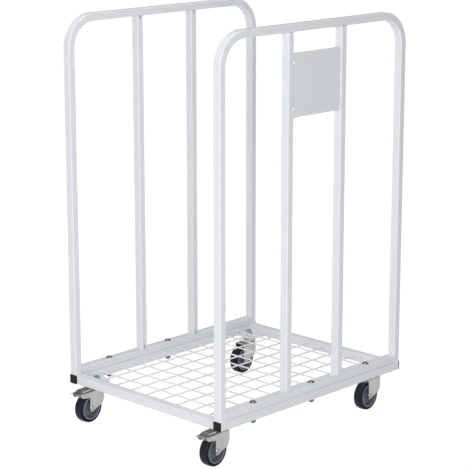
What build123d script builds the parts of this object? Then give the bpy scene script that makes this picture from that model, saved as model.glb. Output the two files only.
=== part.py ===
from build123d import *
import os
from math import atan2, cos, degrees, radians, sin

os.makedirs("parts", exist_ok=True)

# Utility trolley: a wheeled base frame with a wire deck, and two hoop gables bolted along its long sides.
# X runs along the gables with the braked casters at -X, Y from gable to gable, Z up from the floor.
# The pieces are worked out about the middle of the base frame and moved by one shift when they are saved.

# Frame
frame_length = 870.0
frame_width = 700.0
overall_height = 1350.0

# Base rails and their plastic end caps
rail_size = 30.0
rail_wall = 2.0
rail_inside_corner = 1.0
rail_setback = 2.5
cap_head = 5.0
cap_insert = 16.0
cap_wall = 2.0
cap_clearance = 0.2
cap_rounding = 1.5

# Gables
tube_depth = 30.0
tube_thickness = 25.0
tube_wall = 2.0
tube_inside_corner = 2.0
hoop_bend = 95.0
bar_spacing = 248.0
plate_drop = 64.0
plate_height = 200.0
plate_thickness = 2.0
plate_side_gap = 2.5
plate_tab = 14.0
plate_tab_inset = 22.0
drain_slot_width = 5.0
drain_slot_height = 12.0

# Gable bolts
gable_bolt_spacing = 275.0
gable_bolt_radius = 5.0
gable_hole_clearance = 0.5
mushroom_radius = 12.3
mushroom_height = 5.4
washer_radius = 10.0
washer_thickness = 2.0
gable_nut_across_flats = 17.0
gable_nut_height = 8.0
bolt_end_past_nut = 2.5
thread_clearance = 0.02

# Wire deck
wire_diameter = 5.0
long_wires = 8
cross_wires = 10
deck_drop = 5.0
weld_sink = 0.8

# Corner plates
corner_plate_x = 70.0
corner_plate_y = 78.0
corner_plate_cut = 26.0
corner_plate_thickness = 5.0
corner_plate_lift = 3.0

# Casters
swivel_inset_x = 33.0
swivel_inset_y = 28.0
caster_height = 130.0
caster_turn = 4.0
trail = 43.0

# Wheels
wheel_diameter = 100.0
tread_width = 32.0
tread_crown = 1.0
shoulder = 5.0
tyre_thickness = 11.0
tyre_seat_gap = 0.02
rim_thickness = 4.0
rim_slope = 3.0
web_thickness = 12.0
hub_radius = 12.0
hub_foot_width = 1.5
hub_foot_height = 2.5
hub_side_gap = 1.5
hub_running_gap = 0.05
sleeve_radius = 6.0
axle_radius = 4.0
axle_gap = 0.05
axle_head_height = 5.3
axle_nut_across_flats = 13.0
axle_nut_height = 6.5
axle_end_past_nut = 2.0

# Forks
fork_gap = 36.0
fork_sheet = 2.5
fork_bend = 4.0
crown_flare = 3.5
flare_blend = 20.0
wheel_top_gap = 7.5
leg_front = 10.0
leg_drop = 11.0
leg_rounding = 7.0
leg_foot = 3.0
heel_ahead = 2.0
heel_rise = 7.0
heel_rounding = 10.0
skirt = 18.0

# Swivel heads
cup_sheet = 2.5
cup_drop = 16.0
race_step = 5.0
race_rounding = 2.0
ball_diameter = 7.0
ball_gap = 0.3
ball_count = 10
king_pin_radius = 8.0
king_pin_gap = 0.08
king_flange_radius = 15.0
king_flange = 3.2
king_bolt_radius = 6.0
king_bolt_gap = 0.1
king_head_across_flats = 18.0
king_head_height = 7.5
king_nut_flange_radius = 13.0
king_nut_flange = 3.0
king_nut_height = 12.0
king_end_past_nut = 3.0

# Brake pedals
press_angle = 12.0
pedal_pin_ahead = 33.0
pedal_pin_drop = 6.0
pedal_pin_radius = 3.0
pedal_pin_gap = 0.05
pin_head_radius = 4.5
pin_head = 1.5
ear_ahead = 19.0
ear_drop = 18.0
ear_rounding = 17.0
ear_slope = 4.0
pedal_width = 32.0
pedal_sheet = 2.5
pedal_heel = 40.0
pedal_crest = 6.5
pedal_knee = 3.0
pedal_reach = 21.0
pedal_fall = 9.0
pedal_bend = 15.0
lip_reach = 18.0
lip_rise = 7.0
lip_rounding = 6.0
pedal_boss = 8.0
rib_width = 4.0
rib_height = 1.5
rib_spacing = 13.0
rib_end_gap = 5.0
grip_length = 8.0
grip_depth = 3.5
grip_width = 16.0
shoe_gap = 0.4
shoe_thickness = 6.5
shoe_width = 26.0
shoe_lead = 2.0
shoe_sweep = 10.0

# Levels and places that follow from the sizes above
rail_bottom = caster_height - corner_plate_lift
rail_top = rail_bottom + rail_size
foot_top = rail_top + tube_thickness
hoop_under = overall_height - tube_thickness
rail_corner = rail_inside_corner + rail_wall
tube_corner = tube_inside_corner + tube_wall
rail_end_x = frame_length / 2 - rail_setback
rail_inner_x = rail_end_x - rail_size
rail_inner_y = frame_width / 2 - rail_size
gable_y = frame_width / 2 - tube_depth / 2
rail_y = frame_width / 2 - rail_size / 2
gable_hole_radius = gable_bolt_radius + gable_hole_clearance
bolt_xs = [-gable_bolt_spacing, 0, gable_bolt_spacing]

swivel_x = rail_inner_x - swivel_inset_x
swivel_y = rail_inner_y - swivel_inset_y
axle_z = wheel_diameter / 2
cheek = fork_gap / 2 + fork_sheet
crown_radius = cheek + crown_flare
crown_top = wheel_diameter + wheel_top_gap + fork_sheet
cup_under = caster_height - cup_sheet
race_top = cup_under - ball_diameter - ball_gap
race_radius = crown_radius - race_step
flange_top = race_top - fork_sheet - ball_gap
flange_under = flange_top - king_flange
plate_top = caster_height + corner_plate_thickness
pin_x = -trail - pedal_pin_ahead
pin_z = crown_top - pedal_pin_drop

sides = {"near": -1, "far": 1}
corners = {
    "front_near": (-1, -1),
    "front_far": (-1, 1),
    "rear_near": (1, -1),
    "rear_far": (1, 1),
}
braked_corners = ["front_near", "front_far"]
on_base = (Align.CENTER, Align.CENTER, Align.MIN)


def rail_tube(start, along, across, length):
    """A straight length of the square base tube from a point."""
    end = Plane(origin=start, x_dir=across, z_dir=along)
    outside = RectangleRounded(rail_size, rail_size, rail_corner)
    hollow = rail_size - 2 * rail_wall
    return extrude(end * (outside - RectangleRounded(hollow, hollow, rail_inside_corner)), length)


def gable_outline():
    """The gable tube's outer outline, its thickness along X and its depth along Y."""
    return RectangleRounded(tube_thickness, tube_depth, tube_corner)


def gable_hollow():
    """The outline of the gable tube's hollow, its thickness along X and its depth along Y."""
    return RectangleRounded(tube_thickness - 2 * tube_wall, tube_depth - 2 * tube_wall, tube_inside_corner)


def gable_tube(start, along, across, length):
    """A straight length of the gable tube from a point, its thickness lying along across."""
    end = Plane(origin=start, x_dir=across, z_dir=along)
    return extrude(end * (gable_outline() - gable_hollow()), length)


def hexagon(across_flats, height):
    """A hexagon prism standing on its base, with its upper corners rounded off by a cone."""
    flat_radius = across_flats / 2
    prism = extrude(RegularPolygon(flat_radius, 6, major_radius=False), height)
    cone = Cone(flat_radius + height, flat_radius, height, align=on_base)
    return prism & cone


def rod(radius, low, high):
    """A round rod on the Z axis between two heights."""
    return Pos(0, 0, low) * Cylinder(radius, high - low, align=on_base)


def corner_at(outline, x, y):
    """The vertex of a flat outline that lies nearest to a point."""
    return outline.vertices().sort_by_distance((x, y, 0))[0]


def side_view(outline, half_width):
    """A side outline in X and Z, thickened equally both ways along Y."""
    return extrude(Plane.XZ * outline, half_width, both=True)


def side_rail(side):
    """A base rail along a gable, drilled through for the gable bolts."""
    start = (-rail_end_x, side * rail_y, rail_bottom + rail_size / 2)
    rail = rail_tube(start, (1, 0, 0), (0, 1, 0), 2 * rail_end_x)
    holes = [Pos(x, side * gable_y, 0) * rod(gable_hole_radius, rail_bottom, rail_top) for x in bolt_xs]
    return rail - holes


def cross_rail(end):
    """A base rail from side rail to side rail, flush with their ends."""
    start = (end * (rail_end_x - rail_size / 2), -rail_inner_y, rail_bottom + rail_size / 2)
    return rail_tube(start, (0, 1, 0), (1, 0, 0), 2 * rail_inner_y)


def end_cap(end, side):
    """A plastic cap: a rounded head on the rail's end face and a hollow plug inside the tube."""
    middle = (end * rail_end_x, side * rail_y, rail_bottom + rail_size / 2)
    face = Plane(origin=middle, z_dir=(end, 0, 0))
    head = extrude(RectangleRounded(rail_size, rail_size, rail_corner), cap_head)
    head = fillet(head.faces().sort_by(Axis.Z)[-1].edges(), cap_rounding)
    plug_size = rail_size - 2 * rail_wall - 2 * cap_clearance
    plug = RectangleRounded(plug_size, plug_size, rail_inside_corner)
    hollow = Rectangle(plug_size - 2 * cap_wall, plug_size - 2 * cap_wall)
    return face * (head + extrude(plug - hollow, -cap_insert))


def deck_mesh():
    """Welded mesh between the rails: cross wires lie on long wires, sunk into them at each weld."""
    radius = wire_diameter / 2
    upper_z = rail_top - deck_drop - radius
    lower_z = upper_z - wire_diameter + weld_sink
    long_pitch = 2 * rail_inner_y / (long_wires + 1)
    cross_pitch = 2 * rail_inner_x / (cross_wires + 1)
    wires = []
    for count in range(1, long_wires + 1):
        y = -rail_inner_y + count * long_pitch
        wires.append(Pos(0, y, lower_z) * Rot(0, 90, 0) * Cylinder(radius, 2 * rail_inner_x))
    for count in range(1, cross_wires + 1):
        x = -rail_inner_x + count * cross_pitch
        wires.append(Pos(x, 0, upper_z) * Rot(90, 0, 0) * Cylinder(radius, 2 * rail_inner_y))
    return wires[0].fuse(*wires[1:])


def corner_plate(end, side):
    """A flat plate in the corner of the base, its free corner cut off, with a hole for the caster bolt."""
    outer_x = rail_inner_x
    outer_y = rail_inner_y
    inner_x = outer_x - corner_plate_x
    inner_y = outer_y - corner_plate_y
    points = [
        (outer_x, outer_y),
        (inner_x, outer_y),
        (inner_x, inner_y + corner_plate_cut),
        (inner_x + corner_plate_cut, inner_y),
        (outer_x, inner_y),
    ]
    outline = Polygon(*[(end * x, side * y) for x, y in points], align=None)
    plate = Pos(0, 0, caster_height) * extrude(outline, corner_plate_thickness, dir=(0, 0, 1))
    hole = rod(king_bolt_radius + king_bolt_gap, caster_height, plate_top)
    return plate - Pos(end * swivel_x, side * swivel_y, 0) * hole


def hoop(side):
    """A gable hoop: one tube bent over two corners, its posts standing on the side rail."""
    post_x = frame_length / 2 - tube_thickness / 2
    top_z = overall_height - tube_thickness / 2
    y = side * gable_y
    path = FilletPolyline(
        (-post_x, y, rail_top),
        (-post_x, y, top_z),
        (post_x, y, top_z),
        (post_x, y, rail_top),
        radius=hoop_bend,
    )
    foot = Plane(origin=(-post_x, y, rail_top), x_dir=(1, 0, 0), z_dir=(0, 0, 1))
    return sweep(foot * gable_outline(), path) - sweep(foot * gable_hollow(), path)


def foot_bar(side):
    """The gable's lower tube, from post to post, lying on the side rail and drilled for the bolts."""
    post_inner_x = frame_length / 2 - tube_thickness
    start = (-post_inner_x, side * gable_y, rail_top + tube_thickness / 2)
    bar = gable_tube(start, (1, 0, 0), (0, 0, 1), 2 * post_inner_x)
    holes = [Pos(x, side * gable_y, 0) * rod(gable_hole_radius, rail_top, foot_top) for x in bolt_xs]
    return bar - holes


def upright_bar(side, end):
    """An upright tube from foot bar to hoop, with a drain slot at each end of the face towards the load."""
    x = end * bar_spacing / 2
    bar = gable_tube((x, side * gable_y, foot_top), (0, 0, 1), (1, 0, 0), hoop_under - foot_top)
    inner_face_y = side * (gable_y - tube_depth / 2)
    slot = side_view(SlotOverall(2 * drain_slot_height, drain_slot_width, 90), 2 * tube_wall)
    return bar - [Pos(x, inner_face_y, z) * slot for z in (foot_top, hoop_under)]


def label_plate():
    """A plain sheet between the near gable's bars, held by four tabs, just behind the tubes' outer face."""
    width = bar_spacing - tube_thickness
    middle = hoop_under - plate_drop - plate_height / 2
    tab_z = plate_height / 2 - plate_tab_inset - plate_tab / 2
    outline = Pos(0, middle) * Rectangle(width - 2 * plate_side_gap, plate_height)
    outline += [Pos(0, z) * Rectangle(width, plate_tab) for z in (middle - tab_z, middle + tab_z)]
    front = Plane(origin=(0, -frame_width / 2 + tube_corner, 0), x_dir=(1, 0, 0), z_dir=(0, -1, 0))
    return extrude(front * outline, -plate_thickness)


def gable_bolt():
    """A mushroom-head bolt on the Z axis, its head seated on the foot bar."""
    crown = mushroom_height
    dome_radius = (mushroom_radius**2 + crown**2) / (2 * crown)
    ball = Pos(0, 0, foot_top + crown - dome_radius) * Sphere(dome_radius)
    head = ball & rod(mushroom_radius, foot_top, foot_top + crown)
    nut_under = rail_bottom - washer_thickness - gable_nut_height
    return head + rod(gable_bolt_radius, nut_under - bolt_end_past_nut, foot_top)


def gable_washer():
    """A plain washer against the underside of the side rail."""
    disc = rod(washer_radius, rail_bottom - washer_thickness, rail_bottom)
    return disc - rod(gable_hole_radius, rail_bottom - washer_thickness, rail_bottom)


def hex_nut(radius, across_flats, height):
    """A hexagon nut standing on its base, bored for a bolt."""
    return hexagon(across_flats, height) - rod(radius + thread_clearance, 0, height)


def gable_nut():
    """A nut under the washer, its rounded corners downwards."""
    nut = hex_nut(gable_bolt_radius, gable_nut_across_flats, gable_nut_height)
    return Pos(0, 0, rail_bottom - washer_thickness) * Rot(180, 0, 0) * nut


def at_gable_bolts(piece):
    """Copies of a piece on the axes of all gable bolts."""
    return Compound([Pos(x, side * gable_y, 0) * piece for side in sides.values() for x in bolt_xs])


def fork_plan(half_width, radius, reach, blend):
    """The fork from above: a round crown about the swivel axis that runs into two straight cheeks."""
    outline = Circle(radius) + Pos(-reach / 2, 0) * Rectangle(reach, 2 * half_width)
    meeting_x = -((radius**2 - half_width**2) ** 0.5)
    meetings = [corner_at(outline, meeting_x, y) for y in (-half_width, half_width)]
    return fillet(meetings, blend)


def fork_side(braked):
    """The fork from the side: a skirt behind, legs that narrow to rounded tips, and ears for a brake."""
    front_x = -trail - leg_front
    low_z = axle_z - leg_drop
    foot_x = -trail + leg_foot
    heel = (-heel_ahead, axle_z + heel_rise)
    skirt_end = (crown_radius, crown_top - skirt)
    outline = Polygon(
        (crown_radius, crown_top),
        skirt_end,
        heel,
        (foot_x, low_z),
        (front_x, low_z),
        (front_x, crown_top),
        align=None,
    )
    outline = fillet([corner_at(outline, *heel), corner_at(outline, *skirt_end)], heel_rounding)
    outline = fillet([corner_at(outline, foot_x, low_z), corner_at(outline, front_x, low_z)], leg_rounding)
    if braked:
        ear_low = crown_top - ear_drop
        ear_front = pin_x - ear_ahead
        ear = Polygon(
            (-trail, ear_low - ear_slope),
            (-trail, crown_top),
            (ear_front, crown_top),
            (ear_front, ear_low),
            (pin_x, ear_low),
            align=None,
        )
        outline += fillet(corner_at(ear, ear_front, ear_low), ear_rounding)
    return outline


def top_folds(shell):
    """The upper edges of a fork's shell, all but the straight one across its front."""
    edges = shell.faces().sort_by(Axis.Z)[-1].edges()
    return edges.sort_by(Axis.X)[1:]


def fork(braked):
    """A pressed fork about the swivel axis: a folded shell cut to its side view, with a ball race."""
    reach = ear_ahead - pin_x if braked else trail + leg_front
    past_front = reach + fork_bend
    outside = extrude(fork_plan(cheek, crown_radius, past_front, flare_blend), crown_top)
    outside = fillet(top_folds(outside), fork_bend)
    inner_plan = fork_plan(fork_gap / 2, crown_radius - fork_sheet, past_front, flare_blend + fork_sheet)
    inside = extrude(inner_plan, crown_top - fork_sheet)
    inside = fillet(top_folds(inside), fork_bend - fork_sheet)
    shell = (outside - inside) & side_view(fork_side(braked), 2 * crown_radius)
    if braked:
        window = Pos(-trail - leg_front, 0, crown_top) * Box(
            reach, fork_gap, 2 * fork_bend, align=(Align.MAX, Align.CENTER, Align.CENTER)
        )
        shell -= window
        bore = Cylinder(pedal_pin_radius + pedal_pin_gap, 3 * cheek)
        shell -= Pos(pin_x, 0, pin_z) * Rot(90, 0, 0) * bore
    race = rod(race_radius, crown_top - fork_sheet, race_top)
    shell += fillet(race.edges().sort_by(Axis.Z)[-1], race_rounding)
    shell -= rod(race_radius - fork_sheet, crown_top - fork_sheet, race_top - fork_sheet)
    shell -= rod(king_pin_radius + king_pin_gap, race_top - fork_sheet, race_top)
    return shell - Pos(-trail, 0, axle_z) * Rot(90, 0, 0) * Cylinder(axle_radius + axle_gap, 3 * cheek)


def swivel_head():
    """The fixed half of the swivel: a pressed cup over the balls, and a hollow king pin under the fork."""
    cup = rod(crown_radius, caster_height - cup_drop, caster_height)
    cup = fillet(cup.edges().sort_by(Axis.Z)[-1], cup_sheet)
    cup -= rod(crown_radius - cup_sheet, caster_height - cup_drop, cup_under)
    cup -= rod(king_bolt_radius + king_bolt_gap, cup_under, caster_height)
    pin = rod(king_pin_radius, flange_top, cup_under) + rod(king_flange_radius, flange_under, flange_top)
    pin -= rod(king_bolt_radius + king_bolt_gap, flange_under, cup_under)
    return Compound([cup, pin])


def swivel_balls():
    """A ring of balls that hang from the cup's underside, a hair above the fork's race."""
    pitch_radius = (king_pin_radius + race_radius - race_rounding) / 2
    ball_z = cup_under - ball_diameter / 2
    ring = PolarLocations(pitch_radius, ball_count)
    return Compound([Pos(0, 0, ball_z) * place * Sphere(ball_diameter / 2) for place in ring])


def caster_bolt():
    """A hexagon bolt up through the king pin and the corner plate, its head inside the fork."""
    head_under = flange_under - king_head_height
    head = Pos(0, 0, head_under) * hexagon(king_head_across_flats, king_head_height)
    return head + rod(king_bolt_radius, flange_under, plate_top + king_nut_height + king_end_past_nut)


def caster_nut():
    """A flanged nut on top of the corner plate."""
    flange = Cone(king_nut_flange_radius, king_head_across_flats / 2, king_nut_flange, align=on_base)
    nut = flange + hexagon(king_head_across_flats, king_nut_height)
    return Pos(0, 0, plate_top) * (nut - rod(king_bolt_radius + thread_clearance, 0, king_nut_height))


def on_axle(piece):
    """Turns a piece made on the Z axis onto the wheel's axle."""
    return Pos(-trail, 0, axle_z) * Rot(90, 0, 0) * piece


def revolved(points_up):
    """A full turn about Z of an outline that is given for its upper half and mirrored to the lower."""
    points_down = [(radius, -height) for radius, height in reversed(points_up)]
    outline = Polygon(*points_up, *points_down, align=None)
    return revolve(Plane.XZ * outline, Axis.Z)


def wheel_centre():
    """A moulded wheel centre: a hub on the sleeve, a dished web and a rim that carries the tyre."""
    rim = axle_z - tyre_thickness
    hub_half = fork_gap / 2 - hub_side_gap
    rim_half = tread_width / 2
    web = web_thickness / 2
    upper = [
        (sleeve_radius + hub_running_gap, hub_half),
        (hub_radius, hub_half),
        (hub_radius + hub_foot_width, web + hub_foot_height),
        (rim - rim_thickness - rim_slope, web),
        (rim - rim_thickness, rim_half),
        (rim, rim_half),
    ]
    return on_axle(revolved(upper))


def tyre():
    """A rubber tyre moulded on the rim, with a crowned tread and rounded shoulders."""
    seat = axle_z - tyre_thickness + tyre_seat_gap
    half = tread_width / 2
    edge_radius = axle_z - tread_crown
    tread = ThreePointArc((edge_radius, half), (axle_z, 0), (edge_radius, -half))
    walls = Polyline((edge_radius, -half), (seat, -half), (seat, half), (edge_radius, half))
    outline = make_face([tread, *walls.edges()])
    outline = fillet([corner_at(outline, edge_radius, end * half) for end in (-1, 1)], shoulder)
    return on_axle(revolve(Plane.XZ * outline, Axis.Z))


def axle_sleeve():
    """A steel tube clamped between the fork's cheeks, which the hub turns on."""
    half = fork_gap / 2
    return on_axle(rod(sleeve_radius, -half, half) - rod(axle_radius + axle_gap, -half, half))


def axle_bolt():
    """The axle bolt and its nut, outside the two cheeks."""
    shank = rod(axle_radius, -cheek - axle_nut_height - axle_end_past_nut, cheek)
    head = Pos(0, 0, cheek) * hexagon(axle_nut_across_flats, axle_head_height)
    nut = hex_nut(axle_radius, axle_nut_across_flats, axle_nut_height)
    return on_axle(Compound([shank + head, Pos(0, 0, -cheek) * Rot(180, 0, 0) * nut]))


def pedal_points():
    """The pedal's upper face from the side: flat over the pin, down to a foot, and up to the lip's tip."""
    crest_z = crown_top + pedal_crest
    foot = (pin_x - pedal_reach, crest_z - pedal_fall)
    tip = (foot[0] - lip_reach, foot[1] + lip_rise)
    return [(pin_x + pedal_heel, crest_z), (pin_x + pedal_knee, crest_z), foot, tip]


def pedal_strip(width):
    """A strip of the pedal's sheet of some width, bent at the knee and the foot."""
    heel, knee, foot, tip = pedal_points()
    under = [(x, z - pedal_sheet) for x, z in (tip, foot, knee, heel)]
    under_foot, under_knee = under[1:3]
    outline = Polygon(heel, knee, foot, tip, *under, align=None)
    outer_bends = [corner_at(outline, *knee), corner_at(outline, *under_foot)]
    outline = fillet(outer_bends, pedal_bend + pedal_sheet)
    inner_bends = [corner_at(outline, *foot), corner_at(outline, *under_knee)]
    return side_view(fillet(inner_bends, pedal_bend), width / 2)


def brake_shoe():
    """A ring segment, a hair off the tread when the pedal is down, turned back about the pin to rest."""
    inner = axle_z + shoe_gap
    axle = (-trail, axle_z)
    ring = Circle(inner + shoe_thickness) - Circle(inner)
    first = degrees(atan2(pin_z - axle_z, -pedal_pin_ahead)) - shoe_lead
    far = 2 * (inner + shoe_thickness)
    turns = [radians(first), radians(first + shoe_sweep)]
    rays = [(far * cos(turn), far * sin(turn)) for turn in turns]
    segment = Pos(*axle) * (ring & Polygon((0, 0), *rays, align=None))
    to_rest = Pos(pin_x, 0, pin_z) * Rot(0, press_angle, 0) * Pos(-pin_x, 0, -pin_z)
    return to_rest * side_view(segment, shoe_width / 2)


def brake_pedal():
    """A bent sheet lever: two ribs, an upturned lip, two flanges on the pin, and a shoe above the tread."""
    heel, knee, foot, tip = pedal_points()
    half = pedal_width / 2
    plan = RectangleRounded(heel[0] - tip[0], pedal_width, lip_rounding)
    plan = Pos((heel[0] + tip[0]) / 2, 0, axle_z) * plan
    sheet = pedal_strip(pedal_width) & extrude(plan, wheel_diameter)
    rib_length = heel[0] - foot[0] - 2 * rib_end_gap
    rib_window = Pos((heel[0] + foot[0]) / 2, 0, crown_top) * Box(rib_length, rib_width, wheel_diameter)
    rib = Pos(0, 0, rib_height) * pedal_strip(rib_width) & rib_window
    ribs = [Pos(0, y, 0) * rib for y in (-rib_spacing / 2, rib_spacing / 2)]
    inside_sheet = -pedal_sheet / 2
    web = Polygon(
        (heel[0] - lip_rounding, heel[1] + inside_sheet),
        (knee[0], knee[1] + inside_sheet),
        ((knee[0] + foot[0]) / 2, (knee[1] + foot[1]) / 2 + inside_sheet),
        (pin_x - pedal_boss, pin_z),
        (pin_x + pedal_boss, pin_z),
        align=None,
    )
    boss = Pos(pin_x, pin_z) * Circle(pedal_boss)
    flange = extrude(Plane.XZ * (web + boss), pedal_sheet)
    pedal = sheet + ribs + [Pos(0, y, 0) * flange for y in (half, pedal_sheet - half)]
    pedal += side_view(boss, half)
    pedal += brake_shoe()
    bore = Cylinder(pedal_pin_radius + pedal_pin_gap, 2 * pedal_width)
    return pedal - Pos(pin_x, 0, pin_z) * Rot(90, 0, 0) * bore


def pedal_pin():
    """A headed pin across the fork's ears, which the pedal swings on."""
    shank = rod(pedal_pin_radius, -cheek, cheek)
    heads = [rod(pin_head_radius, low, low + pin_head) for low in (cheek, -cheek - pin_head)]
    return Pos(pin_x, 0, pin_z) * Rot(90, 0, 0) * (shank + heads)


def pedal_grip():
    """A black half-round pad under the pedal's lip, its upper side shaped to the bent sheet."""
    foot_x, foot_z = pedal_points()[2]
    front_x = foot_x - grip_length
    half = grip_width / 2
    under_z = foot_z - pedal_sheet
    low_z = under_z - grip_depth
    inside_sheet_z = foot_z - pedal_sheet / 4
    front_rise = grip_length * lip_rise / lip_reach
    across = Plane(origin=(front_x, 0, 0), x_dir=(0, 1, 0), z_dir=(1, 0, 0))
    high_z = inside_sheet_z + front_rise
    round_side = ThreePointArc((-half, under_z), (0, low_z), (half, under_z))
    upper = Polyline((half, under_z), (half, high_z), (-half, high_z), (-half, under_z))
    bar = extrude(across * make_face([round_side, *upper.edges()]), grip_length)
    slanted_top = Polygon(
        (front_x, high_z), (foot_x, inside_sheet_z), (foot_x, low_z), (front_x, low_z), align=None
    )
    return (bar & side_view(slanted_top, grip_width)) - pedal_strip(pedal_width)


# The whole trolley is centred on the origin: its pedals reach past the front caps, so the frame moves back
turned = Rot(0, 0, caster_turn)
pedal_reach_x = -(turned * brake_pedal()).bounding_box().min.X
front_overhang = swivel_x + pedal_reach_x - rail_end_x - cap_head
frame_shift = front_overhang / 2


def save(piece, name):
    """Writes one piece, moved from the frame's own middle to the trolley's origin."""
    export_step(Pos(frame_shift, 0, 0) * piece, f"parts/{name}.step")


for side_name, side in sides.items():
    save(side_rail(side), f"base_side_rail_{side_name}")
    save(hoop(side), f"gable_hoop_{side_name}")
    save(foot_bar(side), f"gable_foot_bar_{side_name}")
    save(upright_bar(side, -1), f"gable_bar_{side_name}_front")
    save(upright_bar(side, 1), f"gable_bar_{side_name}_rear")
save(cross_rail(-1), "base_cross_rail_front")
save(cross_rail(1), "base_cross_rail_rear")
save(Compound([end_cap(end, side) for end, side in corners.values()]), "rail_end_caps")
save(deck_mesh(), "deck_mesh")
save(label_plate(), "label_plate")
save(at_gable_bolts(gable_bolt()), "gable_bolts")
save(at_gable_bolts(gable_washer()), "gable_washers")
save(at_gable_bolts(gable_nut()), "gable_nuts")

swivels = {name: Pos(end * swivel_x, side * swivel_y, 0) for name, (end, side) in corners.items()}
save(Compound([place * caster_bolt() for place in swivels.values()]), "caster_bolts")
save(Compound([place * caster_nut() for place in swivels.values()]), "caster_nuts")
for name, (end, side) in corners.items():
    place = swivels[name] * turned
    save(corner_plate(end, side), f"corner_plate_{name}")
    save(place * swivel_head(), f"swivel_head_{name}")
    save(place * swivel_balls(), f"swivel_balls_{name}")
    save(place * fork(name in braked_corners), f"caster_fork_{name}")
    save(place * axle_bolt(), f"axle_bolt_{name}")
    save(place * axle_sleeve(), f"axle_sleeve_{name}")
    save(place * wheel_centre(), f"wheel_centre_{name}")
    save(place * tyre(), f"tyre_{name}")
    if name in braked_corners:
        save(place * brake_pedal(), f"brake_pedal_{name}")
        save(place * pedal_pin(), f"pedal_pin_{name}")
        save(place * pedal_grip(), f"pedal_grip_{name}")

print("frame shift", frame_shift)
print("swivel axes at x", frame_shift - swivel_x, "and", frame_shift + swivel_x)
print("swivel axes at y", swivel_y, "either side of the middle")
print("pedal pin ahead of the swivel axis by", -pin_x, "at height", pin_z)
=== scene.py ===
# %% [markdown]
# A utility trolley: a welded base with a wire deck on four swivel casters, and two tall hoop gables
# that are bolted on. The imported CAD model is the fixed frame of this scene. It already has every real
# piece in its real place, so the script dresses those pieces with finishes and adds what only a close
# look shows, such as weld beads.

# %% Load the frame
from math import radians

import bpy
import numpy as np
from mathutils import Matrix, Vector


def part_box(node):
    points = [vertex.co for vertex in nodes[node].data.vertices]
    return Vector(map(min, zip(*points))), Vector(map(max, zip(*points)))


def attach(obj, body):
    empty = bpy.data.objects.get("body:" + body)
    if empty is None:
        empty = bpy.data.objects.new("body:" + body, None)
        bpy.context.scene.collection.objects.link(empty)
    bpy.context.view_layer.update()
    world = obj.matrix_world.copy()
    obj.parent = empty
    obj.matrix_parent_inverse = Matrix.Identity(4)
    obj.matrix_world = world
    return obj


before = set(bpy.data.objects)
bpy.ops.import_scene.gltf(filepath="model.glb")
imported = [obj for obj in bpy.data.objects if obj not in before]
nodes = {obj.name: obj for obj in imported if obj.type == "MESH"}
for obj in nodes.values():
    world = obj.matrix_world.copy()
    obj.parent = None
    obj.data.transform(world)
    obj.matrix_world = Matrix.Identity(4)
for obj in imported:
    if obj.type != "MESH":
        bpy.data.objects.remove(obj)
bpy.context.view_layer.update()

# %% [markdown]
# The camera stands where the photograph was taken from: off the near front corner, higher than the
# gables and looking down about 13 degrees. A long lens from far away keeps the uprights nearly
# parallel, as product pictures do.

# %% Camera
camera_place = (-3.9448, -3.8144, 1.9328)
camera_heading = 43.923
camera_down = 13.457
camera_lens = 130.987
sensor_width = 36.0

camera_data = bpy.data.cameras.new("camera")
camera_data.lens = camera_lens
camera_data.sensor_width = sensor_width
camera = bpy.data.objects.new("camera", camera_data)
camera.location = camera_place
camera.rotation_euler = (radians(90 - camera_down), 0, radians(camera_heading - 90))
bpy.context.scene.collection.objects.link(camera)
bpy.context.scene.camera = camera
print("camera at", camera_place, "lens", camera_lens)

# %% [markdown]
# A white object on a white ground only shows its form if its sides differ in brightness. A wide softbox
# stands by the camera, a weaker one makes the front end the brightest side, one overhead puts a glint
# on each bolt head, and two further off keep the back from going grey. The room itself gives little
# light, but the camera sees it white.

# %% Light
def softbox(name, place, aim, size, watts):
    """A square area light at a place, turned to face a point."""
    data = bpy.data.lights.new(name, "AREA")
    data.size = size
    data.energy = watts
    light = bpy.data.objects.new(name, data)
    light.location = place
    direction = np.array(aim) - np.array(place)
    flat = np.hypot(direction[0], direction[1])
    tilt = np.arctan2(flat, -direction[2])
    heading = np.arctan2(direction[1], direction[0])
    light.rotation_euler = (tilt, 0, heading - np.pi / 2)
    bpy.context.scene.collection.objects.link(light)


trolley_middle = (0.0, 0.0, 0.65)
softbox_places_sizes_watts = {
    "front_softbox": ((-4.2, 0.8, 2.2), 2.6, 31),
    "side_softbox": ((-3.6, -3.4, 2.2), 2.6, 154),
    "top_softbox": ((0.3, 0.4, 4.2), 2.0, 58),
    "rear_softbox": ((5.4, 0.6, 1.4), 2.6, 80),
    "far_softbox": ((0.6, 5.4, 1.4), 2.6, 80),
}
for name, (place, size, watts) in softbox_places_sizes_watts.items():
    softbox(name, place, trolley_middle, size, watts)

room_colour = (0.98, 0.99, 1.0, 1.0)
room_as_light = 0.2
room_in_view = 1.0
world = bpy.data.worlds.new("room")
world.use_nodes = True
room_tree = world.node_tree
room_light = room_tree.nodes["Background"]
room_rays = room_tree.nodes.new("ShaderNodeLightPath")
room_strength = room_tree.nodes.new("ShaderNodeMapRange")
room_strength.inputs["To Min"].default_value = room_as_light
room_strength.inputs["To Max"].default_value = room_in_view
room_tree.links.new(room_rays.outputs["Is Camera Ray"], room_strength.inputs["Value"])
room_tree.links.new(room_strength.outputs["Result"], room_light.inputs["Strength"])
room_light.inputs["Color"].default_value = room_colour
bpy.context.scene.world = world
bpy.context.scene.view_settings.view_transform = "Standard"
print("softboxes", len(softbox_places_sizes_watts), "in a dim room")

# %% [markdown]
# Every finish below is a small network of shader nodes, so a few helpers keep that short. They set or
# link an input, add a node, work out a number or a colour between two, and start a material.

# %% Helpers for shader networks
def set_or_link(tree, socket, value):
    """Links the socket to the value if that is a socket too, and sets it to the value if not."""
    if isinstance(value, bpy.types.NodeSocket):
        tree.links.new(value, socket)
    else:
        socket.default_value = value


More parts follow.
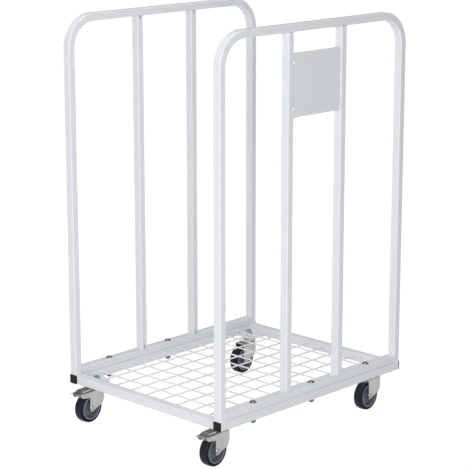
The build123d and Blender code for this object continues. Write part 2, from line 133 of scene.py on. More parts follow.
def add_node(tree, kind, label="", **inputs):
    """Adds a node and sets or links its inputs by name."""
    node = tree.nodes.new(kind)
    node.label = label
    for name, value in inputs.items():
        set_or_link(tree, node.inputs[name.replace("_", " ")], value)
    return node


def maths(tree, operation, first, second=0.0, third=0.0, clamp=False):
    """One sum of up to three numbers, each a value or a socket, given back as a socket."""
    node = tree.nodes.new("ShaderNodeMath")
    node.operation = operation
    node.use_clamp = clamp
    for socket, value in zip(node.inputs, (first, second, third)):
        set_or_link(tree, socket, value)
    return node.outputs[0]


def blend_colours(tree, share, first, second):
    """A colour that goes from the first to the second as share goes from 0 to 1."""
    node = tree.nodes.new("ShaderNodeMix")
    node.data_type = "RGBA"
    tree.links.new(share, node.inputs["Factor"])
    colour_inputs = [socket for socket in node.inputs if socket.type == "RGBA"]
    for socket, colour in zip(colour_inputs, (first, second)):
        set_or_link(tree, socket, (*colour, 1.0) if isinstance(colour, tuple) else colour)
    return [socket for socket in node.outputs if socket.type == "RGBA"][0]


def between(tree, share, low, high):
    """A number that goes from low to high as share goes from 0 to 1."""
    return maths(tree, "MULTIPLY_ADD", share, high - low, low)


def new_finish(name):
    """A material with an empty network but for its main shader."""
    finish = bpy.data.materials.new(name)
    finish.use_nodes = True
    return finish, finish.node_tree, finish.node_tree.nodes["Principled BSDF"]


def feed(tree, shader, **sockets):
    """Links sockets to the shader's inputs by name."""
    for name, socket in sockets.items():
        tree.links.new(socket, shader.inputs[name.replace("_", " ")])


def object_place(tree):
    """Coordinates in metres from the trolley's origin, which stay with a piece when it moves."""
    return tree.nodes.new("ShaderNodeTexCoord").outputs["Object"]


print("shader helpers ready")

# %% [markdown]
# The floor has to look as white as the paper of a catalogue without flooding the trolley with light
# from below. So its network asks which kind of ray has met it. The camera's rays see a soft glow just
# short of white, which a little light from the softboxes tops up, and full white further off. Rays from
# shiny faces see a plain pale paint that glows a little, and all other rays see the paint alone.

# %% Floor
floor_half = 30.0
floor_mesh = bpy.data.meshes.new("floor")
floor_corners = np.array([[-1, -1, 0], [1, -1, 0], [1, 1, 0], [-1, 1, 0]]) * floor_half
floor_mesh.from_pydata(floor_corners.tolist(), [], [(0, 1, 2, 3)])
floor = bpy.data.objects.new("floor", floor_mesh)
bpy.context.scene.collection.objects.link(floor)

paint_as_light = (0.75, 0.75, 0.75)
paint_in_view = (0.16, 0.16, 0.16)
glow_close = 0.92
glow_far_off = 1.0
glow_in_gloss = 0.35
# The glow starts to rise 1 / 0.7 m from the trolley's middle and is full at twice that.
rise_per_metre = 0.7
rise_start = -1.0
floor_paint, tree, shader = new_finish("floor_paint")
ray_kind = tree.nodes.new("ShaderNodeLightPath").outputs
in_view = ray_kind["Is Camera Ray"]
in_gloss = ray_kind["Is Glossy Ray"]
from_middle = add_node(tree, "ShaderNodeVectorMath", "distance from the trolley")
from_middle.operation = "LENGTH"
tree.links.new(object_place(tree), from_middle.inputs[0])
distance = from_middle.outputs["Value"]
far_off = maths(tree, "MULTIPLY_ADD", distance, rise_per_metre, rise_start, clamp=True)
glow = maths(tree, "MULTIPLY", in_view, between(tree, far_off, glow_close, glow_far_off))
feed(tree, shader, Emission_Color=maths(tree, "MULTIPLY_ADD", in_gloss, glow_in_gloss, glow))
feed(tree, shader, Base_Color=blend_colours(tree, in_view, paint_as_light, paint_in_view))
shader.inputs["Emission Strength"].default_value = 1.0
shader.inputs["Roughness"].default_value = 0.9
shader.inputs["Specular IOR Level"].default_value = 0.0
floor_mesh.materials.append(floor_paint)
print("floor of", 2 * floor_half, "m")

# %% [markdown]
# Four effects turn up in several finishes, so each is a node group that is built once. The first is
# fine grain: powder coat flows out into tiny waves like orange peel, and moulded plastic copies the
# sparkle of its mould. Two layers of noise at different sizes give the height for a bump, and the
# coarser one gives a slight tone.

# %% Fine grain
def effect_group(name, inputs, outputs):
    """A node group with named number or vector inputs and number outputs."""
    group = bpy.data.node_groups.new(name, "ShaderNodeTree")
    for socket_name, kind, start in inputs:
        socket = group.interface.new_socket(socket_name, in_out="INPUT", socket_type=kind)
        if start is not None:
            socket.default_value = start
    for socket_name in outputs:
        group.interface.new_socket(socket_name, in_out="OUTPUT", socket_type="NodeSocketFloat")
    given = group.nodes.new("NodeGroupInput").outputs
    return group, given, group.nodes.new("NodeGroupOutput").inputs


def place_group(tree, group, **inputs):
    """Puts a group into a finish with its own values, and gives back its outputs."""
    node = tree.nodes.new("ShaderNodeGroup")
    node.node_tree = group
    for name, value in inputs.items():
        set_or_link(tree, node.inputs[name.replace("_", " ")], value)
    return node.outputs


def noise(tree, label, place, scale, detail):
    """Soft noise between 0 and 1 at a scale per metre, given back as a socket."""
    node = add_node(tree, "ShaderNodeTexNoise", label, Vector=place, Scale=scale, Detail=detail)
    return node.outputs["Fac"]


fine_grain, given, result = effect_group(
    "fine_grain",
    [("Place", "NodeSocketVector", None), ("Waves per metre", "NodeSocketFloat", 500.0)],
    ["Height", "Tone"],
)
fine_to_coarse = 3.1
fine_share = 0.35
coarse_scale = given["Waves per metre"]
fine_scale = maths(fine_grain, "MULTIPLY", coarse_scale, fine_to_coarse)
coarse_waves = noise(fine_grain, "coarse waves", given["Place"], coarse_scale, detail=1.0)
fine_waves = noise(fine_grain, "fine waves", given["Place"], fine_scale, detail=2.0)
layers = maths(fine_grain, "MULTIPLY_ADD", fine_waves, fine_share, coarse_waves)
fine_grain.links.new(layers, result["Height"])
fine_grain.links.new(coarse_waves, result["Tone"])
print("group", fine_grain.name)

# %% [markdown]
# The second effect is rolled streaks. Sheet steel carries faint lines from the rolls. Noise on
# coordinates that are squeezed across the rolling direction and stretched along it draws such lines,
# and the Mapping node before the group says which way they run on each piece.

# %% Rolled streaks
rolled_streaks, given, result = effect_group(
    "rolled_streaks",
    [("Place", "NodeSocketVector", None), ("Lines per metre", "NodeSocketFloat", 300.0)],
    ["Streak", "Cloud"],
)
clouds_to_lines = 0.12
line_scale = given["Lines per metre"]
cloud_scale = maths(rolled_streaks, "MULTIPLY", line_scale, clouds_to_lines)
lines = noise(rolled_streaks, "lines", given["Place"], line_scale, detail=3.0)
clouds = noise(rolled_streaks, "clouds", given["Place"], cloud_scale, detail=2.0)
rolled_streaks.links.new(lines, result["Streak"])
rolled_streaks.links.new(clouds, result["Cloud"])
print("group", rolled_streaks.name)

# %% [markdown]
# The third is settled dust. It lies on faces that look up, more in some places than others, so the mask
# is the upward part of the surface's direction times a soft noise. A new trolley has very little of it.

# %% Settled dust
settled_dust, given, result = effect_group(
    "settled_dust",
    [("Place", "NodeSocketVector", None), ("Amount", "NodeSocketFloat", 0.3)],
    ["Mask"],
)
patches_per_metre = 45.0
facing = settled_dust.nodes.new("ShaderNodeNewGeometry").outputs["Normal"]
upward = add_node(settled_dust, "ShaderNodeSeparateXYZ", "upward part", Vector=facing).outputs["Z"]
patches = noise(settled_dust, "patches", given["Place"], patches_per_metre, detail=4.0)
lying = maths(settled_dust, "MULTIPLY", maths(settled_dust, "MAXIMUM", upward, 0.0), patches)
dusty = maths(settled_dust, "MULTIPLY", lying, given["Amount"], clamp=True)
settled_dust.links.new(dusty, result["Mask"])
print("group", settled_dust.name)

# %% [markdown]
# The fourth finds a ring on a wheel. With coordinates that are centred on the axle and turned so that
# the axle is Y, the distance from the axle is the length of X and Z together. The mask is 1 inside a
# band of that distance and falls to 0 over a soft edge on both sides.

# %% Rings on a wheel
wheel_ring, given, result = effect_group(
    "wheel_ring",
    [
        ("Place", "NodeSocketVector", None),
        ("Radius", "NodeSocketFloat", 0.034),
        ("Half width", "NodeSocketFloat", 0.001),
        ("Soft edge", "NodeSocketFloat", 0.0005),
    ],
    ["Mask"],
)
parts = add_node(wheel_ring, "ShaderNodeSeparateXYZ", "about the axle", Vector=given["Place"]).outputs
x_square = maths(wheel_ring, "MULTIPLY", parts["X"], parts["X"])
squares = maths(wheel_ring, "MULTIPLY_ADD", parts["Z"], parts["Z"], x_square)
from_axle = maths(wheel_ring, "SQRT", squares)
off_ring = maths(wheel_ring, "ABSOLUTE", maths(wheel_ring, "SUBTRACT", from_axle, given["Radius"]))
past_band = maths(wheel_ring, "SUBTRACT", off_ring, given["Half width"])
edge_share = maths(wheel_ring, "DIVIDE", past_band, given["Soft edge"])
inside = maths(wheel_ring, "SUBTRACT", 1.0, edge_share, clamp=True)
wheel_ring.links.new(inside, result["Mask"])
print("group", wheel_ring.name)

# %% [markdown]
# White powder coat covers all the tubes, the deck, the plates and the welds. It is a plastic skin baked
# on dry, so it is a half-gloss white with a faint cool tone, soft waves in the gloss and a breath of
# dust on top faces.

# %% White powder coat
def bump_normal(tree, height, depth, strength):
    """A bump from a height between 0 and 1, as deep as the depth in metres."""
    bump = add_node(tree, "ShaderNodeBump", "relief", Height=height, Distance=depth, Strength=strength)
    return bump.outputs["Normal"]


coat_white = (0.793, 0.815, 0.838), (0.833, 0.85, 0.873)
coat_gloss = 0.20, 0.30
coat_waves_per_metre = 420.0
coat_relief = {"depth": 0.00008, "strength": 0.35}
coat_dust = 0.25
dust_on_white = (0.66, 0.66, 0.65)
powder_coat, tree, shader = new_finish("white_powder_coat")
place = object_place(tree)
grain = place_group(tree, fine_grain, Place=place, Waves_per_metre=coat_waves_per_metre)
dust = place_group(tree, settled_dust, Place=place, Amount=coat_dust)
white = blend_colours(tree, grain["Tone"], *coat_white)
feed(tree, shader, Base_Color=blend_colours(tree, dust["Mask"], white, dust_on_white))
feed(tree, shader, Roughness=between(tree, grain["Tone"], *coat_gloss))
feed(tree, shader, Normal=bump_normal(tree, grain["Height"], **coat_relief))
print("finish", powder_coat.name)

# %% [markdown]
# The black pieces are moulded: hard end caps with a dull spark-eroded grain, and softer grips under the
# pedals. They share one recipe and differ in tone, gloss and grain.

# %% Black plastics
gloss_spread = 0.12
mould_relief = {"depth": 0.0001, "strength": 0.4}
plastic_dust = 0.1
dust_on_black = (0.16, 0.16, 0.155)


def black_plastic(name, dark, pale, roughness, waves_per_metre):
    """A moulded plastic: fine grain moves both its tone and its gloss, and dust greys its upper side."""
    finish, tree, shader = new_finish(name)
    place = object_place(tree)
    grain = place_group(tree, fine_grain, Place=place, Waves_per_metre=waves_per_metre)
    dust = place_group(tree, settled_dust, Place=place, Amount=plastic_dust)
    black = blend_colours(tree, grain["Tone"], dark, pale)
    feed(tree, shader, Base_Color=blend_colours(tree, dust["Mask"], black, dust_on_black))
    feed(tree, shader, Roughness=between(tree, grain["Tone"], roughness, roughness + gloss_spread))
    feed(tree, shader, Normal=bump_normal(tree, grain["Height"], **mould_relief))
    shader.inputs["Specular IOR Level"].default_value = 0.2
    return finish


cap_black = (0.008, 0.008, 0.009), (0.016, 0.016, 0.017)
grip_black = (0.004, 0.004, 0.005), (0.010, 0.010, 0.011)
cap_plastic = black_plastic("black_cap_plastic", *cap_black, roughness=0.48, waves_per_metre=900.0)
grip_plastic = black_plastic("black_grip_plastic", *grip_black, roughness=0.55, waves_per_metre=700.0)
print("finishes", cap_plastic.name, grip_plastic.name)

# %% [markdown]
# The forks are pressed from zinc-plated sheet with a satin face: a warm light grey with fine lines up
# the legs. The pedals are the same sheet with a wider spread of tone, from darker to brighter. Nuts and
# bolts come in three tones of zinc. The Mapping node stretches the streaks along one direction by
# making distances along it count less.

# %% Steels
streak_share = 0.5
cloud_share = 0.5
streak_relief = {"depth": 0.00004, "strength": 0.3}
steel_dust = 0.35
dust_on_steel = (0.30, 0.29, 0.27)


def sheet_steel(name, dark, pale, dull, bright, stretch, lines_per_metre):
    """Rolled sheet: streaks and soft clouds move its tone, and its roughness goes from dull to bright."""
    finish, tree, shader = new_finish(name)
    place = object_place(tree)
    along = add_node(tree, "ShaderNodeMapping", "rolling direction", Vector=place, Scale=stretch)
    streaks = place_group(
        tree, rolled_streaks, Place=along.outputs["Vector"], Lines_per_metre=lines_per_metre
    )
    dust = place_group(tree, settled_dust, Place=place, Amount=steel_dust)
    cloudy = maths(tree, "MULTIPLY", streaks["Cloud"], cloud_share)
    tone = maths(tree, "MULTIPLY_ADD", streaks["Streak"], streak_share, cloudy)
    steel = blend_colours(tree, tone, dark, pale)
    feed(tree, shader, Base_Color=blend_colours(tree, dust["Mask"], steel, dust_on_steel))
    feed(tree, shader, Roughness=between(tree, tone, dull, bright))
    feed(tree, shader, Normal=bump_normal(tree, streaks["Streak"], **streak_relief))
    shader.inputs["Metallic"].default_value = 1.0
    return finish


up_the_legs = (1.0, 1.0, 0.08)
along_the_pedal = (0.1, 1.0, 1.0)
no_direction = (1.0, 1.0, 1.0)
# Each row has a dark tone, a pale tone, and the roughness that goes with either.
satin = (0.44, 0.43, 0.42), (0.66, 0.645, 0.63), 0.48, 0.32
polished = (0.26, 0.24, 0.225), (0.68, 0.65, 0.62), 0.34, 0.16
plated = (0.06, 0.06, 0.06), (0.26, 0.26, 0.265), 0.34, 0.18
bright_plated = (0.30, 0.30, 0.30), (0.58, 0.58, 0.58), 0.40, 0.26
barrelled = (0.09, 0.09, 0.09), (0.27, 0.27, 0.275), 0.32, 0.21
sheet_lines = 260.0
pedal_lines = 300.0
bolt_lines = 500.0
fork_steel = sheet_steel("fork_steel", *satin, up_the_legs, sheet_lines)
pedal_steel = sheet_steel("pedal_steel", *polished, along_the_pedal, pedal_lines)
zinc = sheet_steel("zinc_fasteners", *plated, no_direction, bolt_lines)
bright_zinc = sheet_steel("bright_zinc_fasteners", *bright_plated, no_direction, bolt_lines)
polished_zinc = sheet_steel("polished_zinc_fasteners", *barrelled, no_direction, bolt_lines)
print("finishes", [steel.name for steel in (fork_steel, pedal_steel, zinc, bright_zinc, polished_zinc)])

# %% [markdown]
# Each wheel has a slate-grey moulded centre with a paler ring near its edge, which is a painted
# highlight, and a blue-black rubber tyre whose paler tread is partly scuffs and partly painted sheen.
# The ring, the tread and the mould lines follow the axle, so every wheel gets its own copy of the two
# finishes, with Mapping nodes that move the coordinates to its own axle and turn them to the caster's
# heading.

# %% Wheel finishes
caster_turn = 4.0
corner_names = ["front_near", "front_far", "rear_near", "rear_far"]


def axle_place(tree, corner):
    """Coordinates about a wheel's own axle: moved to the tyre's middle and turned with the caster."""
    low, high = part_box(f"tyre_{corner}")
    moved = add_node(
        tree, "ShaderNodeMapping", "to the axle",
        Vector=object_place(tree), Location=tuple(-(low + high) / 2),
    )
    turned = add_node(
        tree, "ShaderNodeMapping", "to the heading",
        Vector=moved.outputs["Vector"], Rotation=(0.0, 0.0, radians(-caster_turn)),
    )
    return turned.outputs["Vector"]


tread_band = {"Radius": 0.050, "Half_width": 0.001, "Soft_edge": 0.002}
mould_band = {"Radius": 0.0425, "Half_width": 0.0005, "Soft_edge": 0.0008}
# The pale tone shows on the tread: partly scuffs, partly a painted sheen.
rubber_black = (0.005, 0.007, 0.012), (0.022, 0.029, 0.048)
rubber_gloss = 0.26, 0.50
rubber_waves_per_metre = 350.0
rubber_relief = {"depth": 0.0004, "strength": 0.5}
grain_in_relief = 0.12
rubber_dust = 0.06
dust_on_rubber = (0.10, 0.10, 0.10)


def tyre_rubber(corner):
    """Rubber with a paler tread, partly scuffs and partly painted sheen, a mould ring on each wall, and
    fine grain in its gloss.
    """
    finish, tree, shader = new_finish(f"tyre_rubber_{corner}")
    place = axle_place(tree, corner)
    grain = place_group(tree, fine_grain, Place=place, Waves_per_metre=rubber_waves_per_metre)
    dust = place_group(tree, settled_dust, Place=place, Amount=rubber_dust)
    tread = place_group(tree, wheel_ring, Place=place, **tread_band)
    walls = place_group(tree, wheel_ring, Place=place, **mould_band)
    # The tread's mottled paler, bluer tone is partly scuffs and partly a painted sheen.
    scuffs_and_sheen = maths(tree, "MULTIPLY", tread["Mask"], grain["Tone"])
    rubber = blend_colours(tree, scuffs_and_sheen, *rubber_black)
    feed(tree, shader, Base_Color=blend_colours(tree, dust["Mask"], rubber, dust_on_rubber))
    feed(tree, shader, Roughness=between(tree, scuffs_and_sheen, *rubber_gloss))
    relief = maths(tree, "MULTIPLY_ADD", grain["Height"], grain_in_relief, walls["Mask"])
    feed(tree, shader, Normal=bump_normal(tree, relief, **rubber_relief))
    shader.inputs["Specular IOR Level"].default_value = 0.11
    return finish


# The paler ring near the edge of each centre is a painted highlight, where that edge catches the light.
painted_highlight_band = {"Radius": 0.0372, "Half_width": 0.0011, "Soft_edge": 0.0007}
slate_grey = (0.073, 0.089, 0.124), (0.105, 0.125, 0.165)
painted_highlight_slate = (0.29, 0.32, 0.36)
slate_gloss = 0.40, 0.52
slate_waves_per_metre = 450.0
slate_relief = {"depth": 0.00008, "strength": 0.35}
slate_dust = 0.1
dust_on_slate = (0.25, 0.25, 0.25)


def wheel_plastic(corner):
    """Slate-grey plastic with a paler ring near the edge that is a painted highlight."""
    finish, tree, shader = new_finish(f"grey_wheel_plastic_{corner}")
    place = axle_place(tree, corner)
    grain = place_group(tree, fine_grain, Place=place, Waves_per_metre=slate_waves_per_metre)
    dust = place_group(tree, settled_dust, Place=place, Amount=slate_dust)
    painted_highlight_ring = place_group(tree, wheel_ring, Place=place, **painted_highlight_band)
    slate = blend_colours(tree, grain["Tone"], *slate_grey)
    # Painted highlight: the slate turns paler inside the ring near the edge.
    slate_with_painted_highlight = blend_colours(tree, painted_highlight_ring["Mask"], slate, painted_highlight_slate)
    feed(tree, shader, Base_Color=blend_colours(tree, dust["Mask"], slate_with_painted_highlight, dust_on_slate))
    feed(tree, shader, Roughness=between(tree, grain["Tone"], *slate_gloss))
    feed(tree, shader, Normal=bump_normal(tree, grain["Height"], **slate_relief))
    return finish


tyre_finishes = {corner: tyre_rubber(corner) for corner in corner_names}
centre_finishes = {corner: wheel_plastic(corner) for corner in corner_names}
print("wheel finishes", len(tyre_finishes) + len(centre_finishes))

# %% [markdown]
# Now each CAD piece gets its finish by the first words of its name. Pieces that no prefix names would
# keep a blank grey, so the cell lists them and stops if there are any.

# %% Dress the CAD pieces
finish_by_prefix = {
    "base_": powder_coat,
    "gable_hoop": powder_coat,
    "gable_foot_bar": powder_coat,
    "gable_bar": powder_coat,
    "deck_mesh": powder_coat,
    "label_plate": powder_coat,
    "corner_plate": powder_coat,
    "rail_end_caps": cap_plastic,
    "pedal_grip": grip_plastic,
    "caster_fork": fork_steel,
    "swivel_head": fork_steel,
    "brake_pedal": pedal_steel,
    "gable_bolts": polished_zinc,
    "gable_washers": zinc,
    "gable_nuts": zinc,
    "caster_bolts": bright_zinc,
    "caster_nuts": bright_zinc,
    "swivel_balls": zinc,
    "axle_bolt": bright_zinc,
    "axle_sleeve": bright_zinc,
    "pedal_pin": fork_steel,
}
finish_by_prefix.update({f"tyre_{corner}": finish for corner, finish in tyre_finishes.items()})
finish_by_prefix.update({f"wheel_centre_{corner}": finish for corner, finish in centre_finishes.items()})

undressed = []
for name, piece in nodes.items():
    matches = [finish for prefix, finish in finish_by_prefix.items() if name.startswith(prefix)]
    if not matches:
        undressed.append(name)
        continue
    piece.data.materials.clear()
    piece.data.materials.append(matches[0])
assert not undressed, undressed
print("dressed", len(nodes), "pieces")

# %% [markdown]
# Welds and threads are too fine for the CAD model, yet they tell how the trolley was made. Each is a
# skin over a stack of rings, so one function turns rings into closed shells: walls between neighbouring
# rings, and a fan of triangles over each end. It does all the shells of a group at once, as arrays, and
# joins them into one piece.

# %% Closed shells from rings
def closed_shells(name, rings, finish, body):
    """A piece from rings of points, an array shaped (shells, rings, points round, 3), riding on a body.

    Walls join each ring to the next, and each point to its neighbour round the ring, the last one to the
    first. At both ends of a shell a fan joins the ring to its own middle, so nothing is left open."""
    shells, stack, around, _ = rings.shape
    end_middles = rings[:, [0, -1]].mean(axis=2)
    points = np.concatenate([rings.reshape(shells, -1, 3), end_middles], axis=1)
    here = np.arange(around)
    beside = (here + 1) % around
    row = np.arange(stack - 1)[:, None] * around
    walls = np.stack([row + here, row + beside, row + around + beside, row + around + here], axis=-1)
    last_row = (stack - 1) * around
    first_middle = np.full(around, stack * around)
    start_fan = np.stack([beside, here, first_middle], axis=-1)
    end_fan = np.stack([last_row + here, last_row + beside, first_middle + 1], axis=-1)
    shell_starts = np.arange(shells)[:, None, None] * points.shape[1]
    quads = (walls.reshape(1, -1, 4) + shell_starts).reshape(-1, 4)
    triangles = (np.concatenate([start_fan, end_fan])[None] + shell_starts).reshape(-1, 3)
    mesh = bpy.data.meshes.new(name)
    mesh.from_pydata(points.reshape(-1, 3).tolist(), [], quads.tolist() + triangles.tolist())
    mesh.polygons.foreach_set("use_smooth", np.ones(len(mesh.polygons), dtype=bool))
    mesh.materials.append(finish)
    piece = bpy.data.objects.new(name, mesh)
    bpy.context.scene.collection.objects.link(piece)
    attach(piece, body)
    print(name, "shells", shells, "faces", len(mesh.polygons))


print("ring skin ready")

# %% [markdown]
# A fillet weld fills the corner where two tubes meet. The torch lays it as a row of overlapping coins,
# so the bead swells once per coin, and the coins bow forward in the middle because the hot pool trails
# behind the arc. The bead is a ring carried along the seam, which thins to nothing where the welder
# started and stopped.

# %% Weld beads
coin_pitch = 0.0022
rings_per_coin = 5
bead_sides = 12
bead_middle = 0.28
bead_radius = 0.62
coin_bow = 0.3
even_share = 0.93
coin_share = 0.07
arch_power = 8
seam_start = 0.002
seam_end = 0.998


def weld_beads(name, seams, leg):
    """Beads along straight seams, each a start, an end and the directions of the two faces that meet.

    A point is start + u * (end - start), plus a step along each face: leg * swell * (0.28 + 0.62 * cos a)
    on the first and leg * swell * (0.28 + 0.62 * sin a) on the second, with a the angle round the ring.
    swell is an arch that is flat in the middle and nothing at both ends, times 0.93 plus 0.07 of a wave
    that rises once per coin."""
    starts, ends, first, second = (np.array(column, dtype=float) for column in zip(*seams))
    left_handed = np.sum(np.cross(first, second) * (ends - starts), axis=1) < 0
    starts[left_handed], ends[left_handed] = ends[left_handed].copy(), starts[left_handed].copy()
    coins = np.linalg.norm(ends - starts, axis=1) / coin_pitch
    stack = int(coins.max() * rings_per_coin)
    u = np.linspace(seam_start, seam_end, stack)[None, :, None]
    angle = np.linspace(0, 2 * np.pi, bead_sides, endpoint=False)[None, None, :]
    bow = coin_bow * np.cos(angle - np.pi / 4)
    wave = np.abs(np.sin(np.pi * (coins[:, None, None] * u + bow)))
    swell = np.sqrt(1 - (2 * u - 1) ** arch_power) * (even_share + coin_share * wave)
    along_first = leg * swell * (bead_middle + bead_radius * np.cos(angle))
    along_second = leg * swell * (bead_middle + bead_radius * np.sin(angle))
    seam = starts[:, None, None, :] + u[..., None] * (ends - starts)[:, None, None, :]
    rings = seam + along_first[..., None] * first[:, None, None, :]
    rings = rings + along_second[..., None] * second[:, None, None, :]
    closed_shells(name, rings, powder_coat, "frame")


print("weld coins every", coin_pitch, "m")

# %% [markdown]
# On the gables, each upright bar is welded across its two narrow faces at the top and the bottom. The
# foot bar is welded to the posts on its upper side and down its outer face, where a wide bead fills the
# groove that the rounded edge of the post leaves. The inner faces have no bead, because the load slides
# along them.

# %% Welds of the gables
gable_leg = 0.0032
tube_corner = 0.004
# The bead in a groove starts past the bar's end and under its face, and is wider than it is high.
groove_reach = 0.0007
groove_sink = 0.0018
bead_width = 2.75
bead_rise = 1.05
gable_seams = []
for side, outward in (("near", -1), ("far", 1)):
    for end in ("front", "rear"):
        low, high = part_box(f"gable_bar_{side}_{end}")
        for x, out in ((low.x, -1), (high.x, 1)):
            for z, away in ((low.z, 1), (high.z, -1)):
                line = [(x, y, z) for y in (low.y + tube_corner, high.y - tube_corner)]
                gable_seams.append((*line, (out, 0, 0), (0, 0, away)))
    low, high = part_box(f"gable_foot_bar_{side}")
    outer_y = low.y + groove_sink if side == "near" else high.y - groove_sink
    for x, inward in ((low.x, 1), (high.x, -1)):
        line = [(x, y, high.z) for y in (low.y + tube_corner, high.y - tube_corner)]
        gable_seams.append((*line, (inward, 0, 0), (0, 0, 1)))
        groove_x = x - inward * groove_reach
        line = [(groove_x, outer_y, z) for z in (low.z + groove_reach, high.z - groove_reach)]
        gable_seams.append((*line, (inward * bead_width, 0, 0), (0, outward * bead_rise, 0)))
weld_beads("gable_welds", gable_seams, gable_leg)

# %% [markdown]
# In the base, the cross rails are welded to the side rails in the inner corners, above the plates that
# carry the casters. Those plates are held by a short stitch along each rail. The label plate hangs on
# four tabs. Each has a fat bead on its outer side, which laps onto the rounded edge of the bar and
# catches the light there.

# %% Welds of the base and the label plate
base_leg = 0.0035
rail_corner = 0.003
stitch_margin = 0.018
base_seams = []
for end, inward_x in (("front", 1), ("rear", -1)):
    rail_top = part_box(f"base_cross_rail_{end}")[1].z
    for side, inward_y in (("near", 1), ("far", -1)):
        low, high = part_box(f"corner_plate_{end}_{side}")
        x = low.x if inward_x > 0 else high.x
        y = low.y if inward_y > 0 else high.y
        upright = [(x, y, z) for z in (high.z, rail_top - rail_corner)]
        base_seams.append((*upright, (inward_x, 0, 0), (0, inward_y, 0)))
        across = [(x, place, high.z) for place in (low.y + stitch_margin, high.y - stitch_margin)]
        base_seams.append((*across, (inward_x, 0, 0), (0, 0, 1)))
        along = [(place, y, high.z) for place in (low.x + stitch_margin, high.x - stitch_margin)]
        base_seams.append((*along, (0, inward_y, 0), (0, 0, 1)))
weld_beads("base_welds", base_seams, base_leg)

tab_leg = 0.0055
tab_inset = 0.022
tab_height = 0.014
# A tab's bead stays off the tab's ends, laps onto the bar and stands a little off the plate's face.
tab_margin = 0.001
tab_lap = 0.0015
tab_rise = 0.002
low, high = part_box("label_plate")
tab_seams = []
for x, inward in ((low.x, 1), (high.x, -1)):
    for tab_low in (low.z + tab_inset, high.z - tab_inset - tab_height):
        heights = (tab_low + tab_margin, tab_low + tab_height - tab_margin)
        line = [(x - inward * tab_lap, low.y - tab_rise, z) for z in heights]
        tab_seams.append((*line, (inward, 0, 0), (0, -1, 0)))
weld_beads("label_plate_welds", tab_seams, tab_leg)

# %% [markdown]
# The deck is resistance welded: a press pinches two crossing wires, a current melts them together, and
# a little steel squeezes out round the joint as a flat nub. The wires' ends are tacked to the rails,
# which leaves a small collar round each end. Both are round about the X or Y axis, so one function
# spins a profile for all of them.

# %% Welds of the deck
def round_shells(name, bases, axes, heights, radii, flatness, around):
    """Profiles spun about level axes.

    Each point is base + height * axis + radius * (cos a * side + sin a * up), where up is +Z times the
    flatness, and side is +Z crossed with the axis."""
    angle = np.linspace(0, 2 * np.pi, around, endpoint=False)
    up = np.array([0.0, 0.0, 1.0])
    side = np.cross(up, axes)
    rising = flatness * np.sin(angle)[None, :, None] * up
    circle = np.cos(angle)[None, :, None] * side[:, None, :] + rising
    spine = bases[:, None, :] + heights[None, :, None] * axes[:, None, :]
    rings = spine[:, :, None, :] + radii[None, :, None, None] * circle[:, None, :, :]
    closed_shells(name, rings, powder_coat, "frame")


wire_radius = 0.0025
long_wires = 8
cross_wires = 10
low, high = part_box("deck_mesh")
wire_ys = np.linspace(low.y, high.y, long_wires + 2)[1:-1]
wire_xs = np.linspace(low.x, high.x, cross_wires + 2)[1:-1]
upper_z = high.z - wire_radius
lower_z = low.z + wire_radius

nub_radius = 0.0029
# The angle from the axis to the first ring, inside which the end fan closes the nub.
nub_pole = 0.1
nub_rings = 6
nub_flatness = 0.5
nub_sides = 8
crossing_x, crossing_y = (grid.ravel() for grid in np.meshgrid(wire_xs, wire_ys))
joint_z = np.full(crossing_x.shape, (upper_z + lower_z) / 2)
crossings = np.stack([crossing_x, crossing_y, joint_z], axis=-1)
nub_axes = np.tile([1.0, 0.0, 0.0], (len(crossings), 1))
nub_arc = np.linspace(nub_pole, np.pi - nub_pole, nub_rings)
nub_heights = -nub_radius * np.cos(nub_arc)
nub_radii = nub_radius * np.sin(nub_arc)
round_shells("deck_joint_nubs", crossings, nub_axes, nub_heights, nub_radii, nub_flatness, nub_sides)

collar_height = 0.0036
collar_rise = 0.0017
collar_clearance = 0.00004
collar_rings = 6
collar_sides = 10
ends = [(x, y, lower_z, inward, 0) for x, inward in ((low.x, 1), (high.x, -1)) for y in wire_ys]
ends += [(x, y, upper_z, 0, inward) for y, inward in ((low.y, 1), (high.y, -1)) for x in wire_xs]
wire_ends = np.array(ends, dtype=float)
end_axes = np.pad(wire_ends[:, 3:], ((0, 0), (0, 1)))
up_collar = np.linspace(0, collar_height, collar_rings)
collar_radii = wire_radius + collar_clearance + collar_rise * (1 - up_collar / collar_height) ** 2
round_shells(
    "deck_end_collars", wire_ends[:, :3], end_axes, up_collar, collar_radii,
    flatness=1.0, around=collar_sides,
)

# %% [markdown]
# The bolts' ends show a few turns of thread past their nuts. A thread is a small triangle carried along
# a helix, and it runs out to nothing at both ends, as a rolled thread does.

# %% Threads
pitch_to_diameter = 0.16
rings_per_turn = 24
ridge_half_width = 0.3
ridge_root = -0.1
ridge_crest = 0.22
fade_slope = 8
fade_rest = 0.05


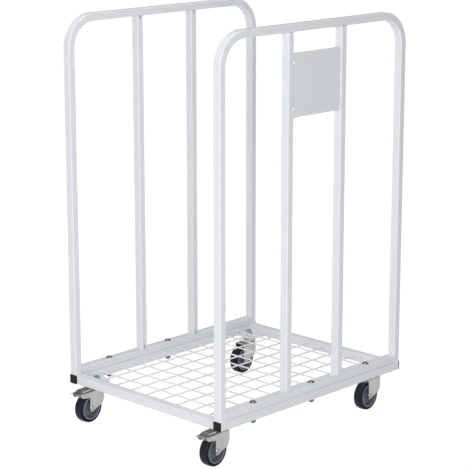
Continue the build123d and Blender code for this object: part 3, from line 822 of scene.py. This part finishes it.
def thread_ridges(name, bases, axis, across, radius, length, finish, body):
    """Triangular ridges wound about parallel axes, from each base along the axis.

    A ring's middle is base + length * u * axis + radius * spoke, where the spoke turns once per pitch.
    The triangle reaches 0.3 pitch either way along the axis and 0.22 pitch outwards, less towards both
    ends."""
    pitch = pitch_to_diameter * 2 * radius
    u = np.linspace(0.0, 1.0, int(rings_per_turn * length / pitch))
    turn = 2 * np.pi * length / pitch * u
    spoke = np.cos(turn)[:, None] * across + np.sin(turn)[:, None] * np.cross(axis, across)
    fade = np.minimum(1.0, fade_slope * np.minimum(u, 1 - u) + fade_rest)
    corners_along = pitch * np.array([-ridge_half_width, ridge_half_width, 0.0])
    corners_out = pitch * np.array([ridge_root, ridge_root, ridge_crest])
    path = length * u[:, None] * axis + radius * spoke
    off_path = corners_along[None, :, None] * axis + corners_out[None, :, None] * spoke[:, None, :]
    winding = path[:, None, :] + fade[:, None, None] * off_path
    rings = np.array(bases)[:, None, None, :] + winding[None]
    closed_shells(name, rings, finish, body)


up = np.array([0.0, 0.0, 1.0])
forward = np.array([1.0, 0.0, 0.0])

washer_radius = 0.010
gable_bolt_radius = 0.005
bolts_per_side = 3
low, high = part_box("gable_washers")
nut_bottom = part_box("gable_nuts")[0].z
gable_thread = nut_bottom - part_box("gable_bolts")[0].z
bolt_xs = np.linspace(low.x + washer_radius, high.x - washer_radius, bolts_per_side)
bolt_ys = (low.y + washer_radius, high.y - washer_radius)
bases = [(x, y, nut_bottom) for x in bolt_xs for y in bolt_ys]
thread_ridges("gable_bolt_threads", bases, -up, forward, gable_bolt_radius, gable_thread, zinc, "frame")

nut_flange_radius = 0.013
caster_bolt_radius = 0.006
low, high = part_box("caster_nuts")
caster_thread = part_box("caster_bolts")[1].z - high.z
bolt_xs = (low.x + nut_flange_radius, high.x - nut_flange_radius)
bolt_ys = (low.y + nut_flange_radius, high.y - nut_flange_radius)
bases = [(x, y, high.z) for x in bolt_xs for y in bolt_ys]
thread_ridges(
    "caster_bolt_threads", bases, up, forward, caster_bolt_radius, caster_thread, bright_zinc, "frame"
)

axle_radius = 0.004
# From the wheel's middle to the outer face of the axle's nut.
axle_nut_face = 0.027
axle_thread = 0.0015
axle_line = np.array([-np.sin(radians(caster_turn)), np.cos(radians(caster_turn)), 0.0])
for corner in corner_names:
    low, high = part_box(f"tyre_{corner}")
    base = np.array((low + high) / 2) + axle_nut_face * axle_line
    name = f"axle_threads_{corner}"
    thread_ridges(name, [base], axle_line, up, axle_radius, axle_thread, bright_zinc, f"fork_{corner}")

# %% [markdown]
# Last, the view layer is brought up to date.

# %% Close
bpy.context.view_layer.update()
